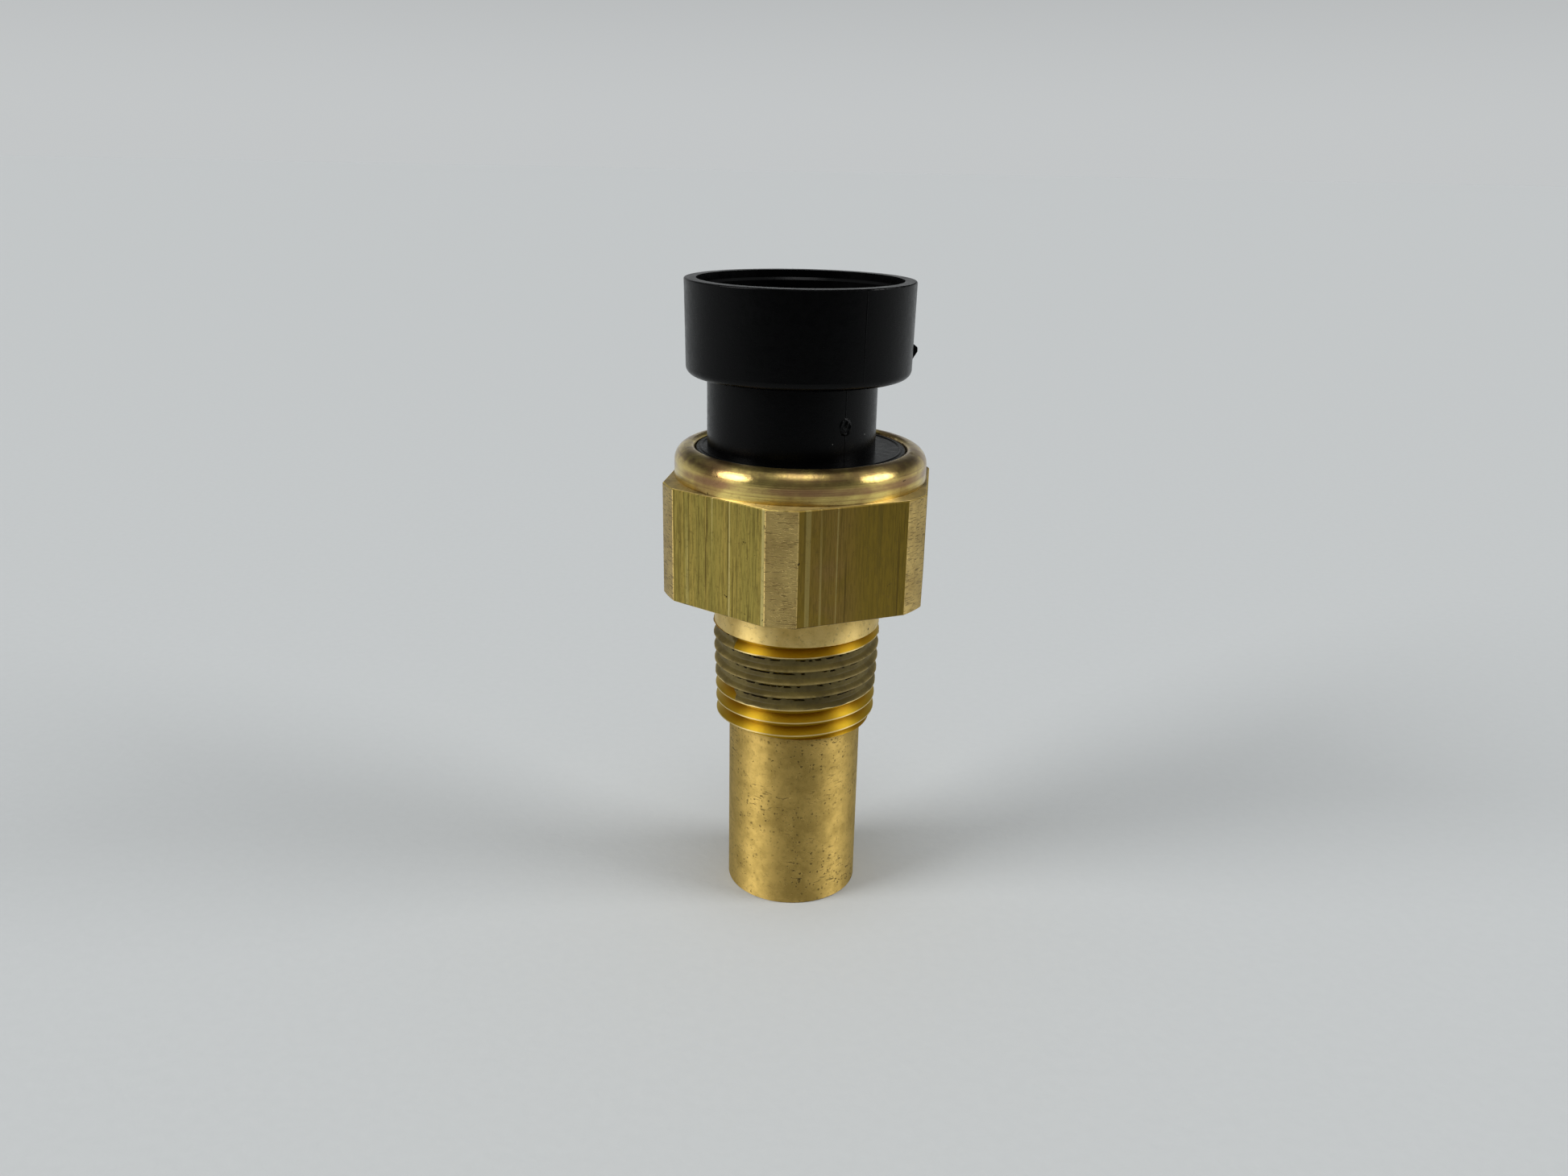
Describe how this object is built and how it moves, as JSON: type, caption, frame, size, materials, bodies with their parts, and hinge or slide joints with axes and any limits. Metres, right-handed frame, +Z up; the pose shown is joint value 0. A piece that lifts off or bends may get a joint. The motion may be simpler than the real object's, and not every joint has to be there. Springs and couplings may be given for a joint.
{
  "type": "pressure switch",
  "caption": "Screw-in pressure switch: brass hexagon body with tapered pipe thread and long snout, crimped round a black plastic plug socket.",
  "frame": {"origin": "centre of the snout's flat end face, on the axis of the thread", "axes": "+Z up the axis from the snout through the thread and hexagon to the plug socket; one corner of the hexagon points along -Y; +X is square to a pair of flats"},
  "size_m": [0.0254, 0.0278, 0.0641],
  "materials": {
    "brass": "satin, drawn and turned, lightly tarnished",
    "thread_sealant": "matte, dried",
    "sintered_bronze": "matte, porous",
    "seal_rubber": "matte",
    "film": "glossy film",
    "plated_steel": "satin",
    "spring_steel": "bright",
    "piston_steel": "turned",
    "phenolic": "matte, moulded",
    "black_plastic": "semi-gloss, moulded",
    "tinned_terminal": "tinned",
    "contact_silver": "bright",
    "spring_copper": "bright strip",
    "potting": "glossy resin"
  },
  "bodies": {
    "switch_body": {"brass_body": "brass", "thread_sealant": "thread_sealant", "port_filter": "sintered_bronze", "pressure_seal_ring": "seal_rubber", "diaphragm": "film", "backup_film": "film", "guide_ring": "plated_steel", "disc_spacer_ring": "plated_steel", "snap_disc": "spring_steel", "pin_guide": "phenolic", "housing_seal_ring": "seal_rubber", "connector_housing": "black_plastic", "fixed_terminal": "tinned_terminal", "common_terminal": "tinned_terminal", "fixed_contact": "contact_silver", "contact_arm": "spring_copper", "arm_rivet": "spring_copper", "terminal_potting": "potting"},
    "piston_body": {"piston": "piston_steel"},
    "pin_body": {"transfer_pin": "phenolic"},
    "arm_tip": {"moving_contact": "contact_silver"}
  },
  "joints": [
    {"name": "piston_slide", "type": "slide", "parent": "switch_body", "child": "piston_body", "axis": [0, 0, 1], "range_m": [0, 0.0004], "stiffness_N_per_m": 120, "springref_m": -0.0004, "deforming": ["diaphragm", "backup_film", "snap_disc"]},
    {"name": "pin_slide", "type": "slide", "parent": "switch_body", "child": "pin_body", "axis": [0, 0, 1], "range_m": [0, 0.0004]},
    {"name": "contact_swing", "type": "hinge", "parent": "switch_body", "child": "arm_tip", "pos_m": [0.0035, 0, 0.04659], "axis": [0, 1, 0], "range_deg": [0, 6.6], "deforming": ["contact_arm"]}
  ],
  "couplings": [
    {"joint": "pin_slide", "follows": "piston_slide", "ratio": 1},
    {"joint": "contact_swing", "follows": "piston_slide", "rad_per_m": 285.71}
  ]
}
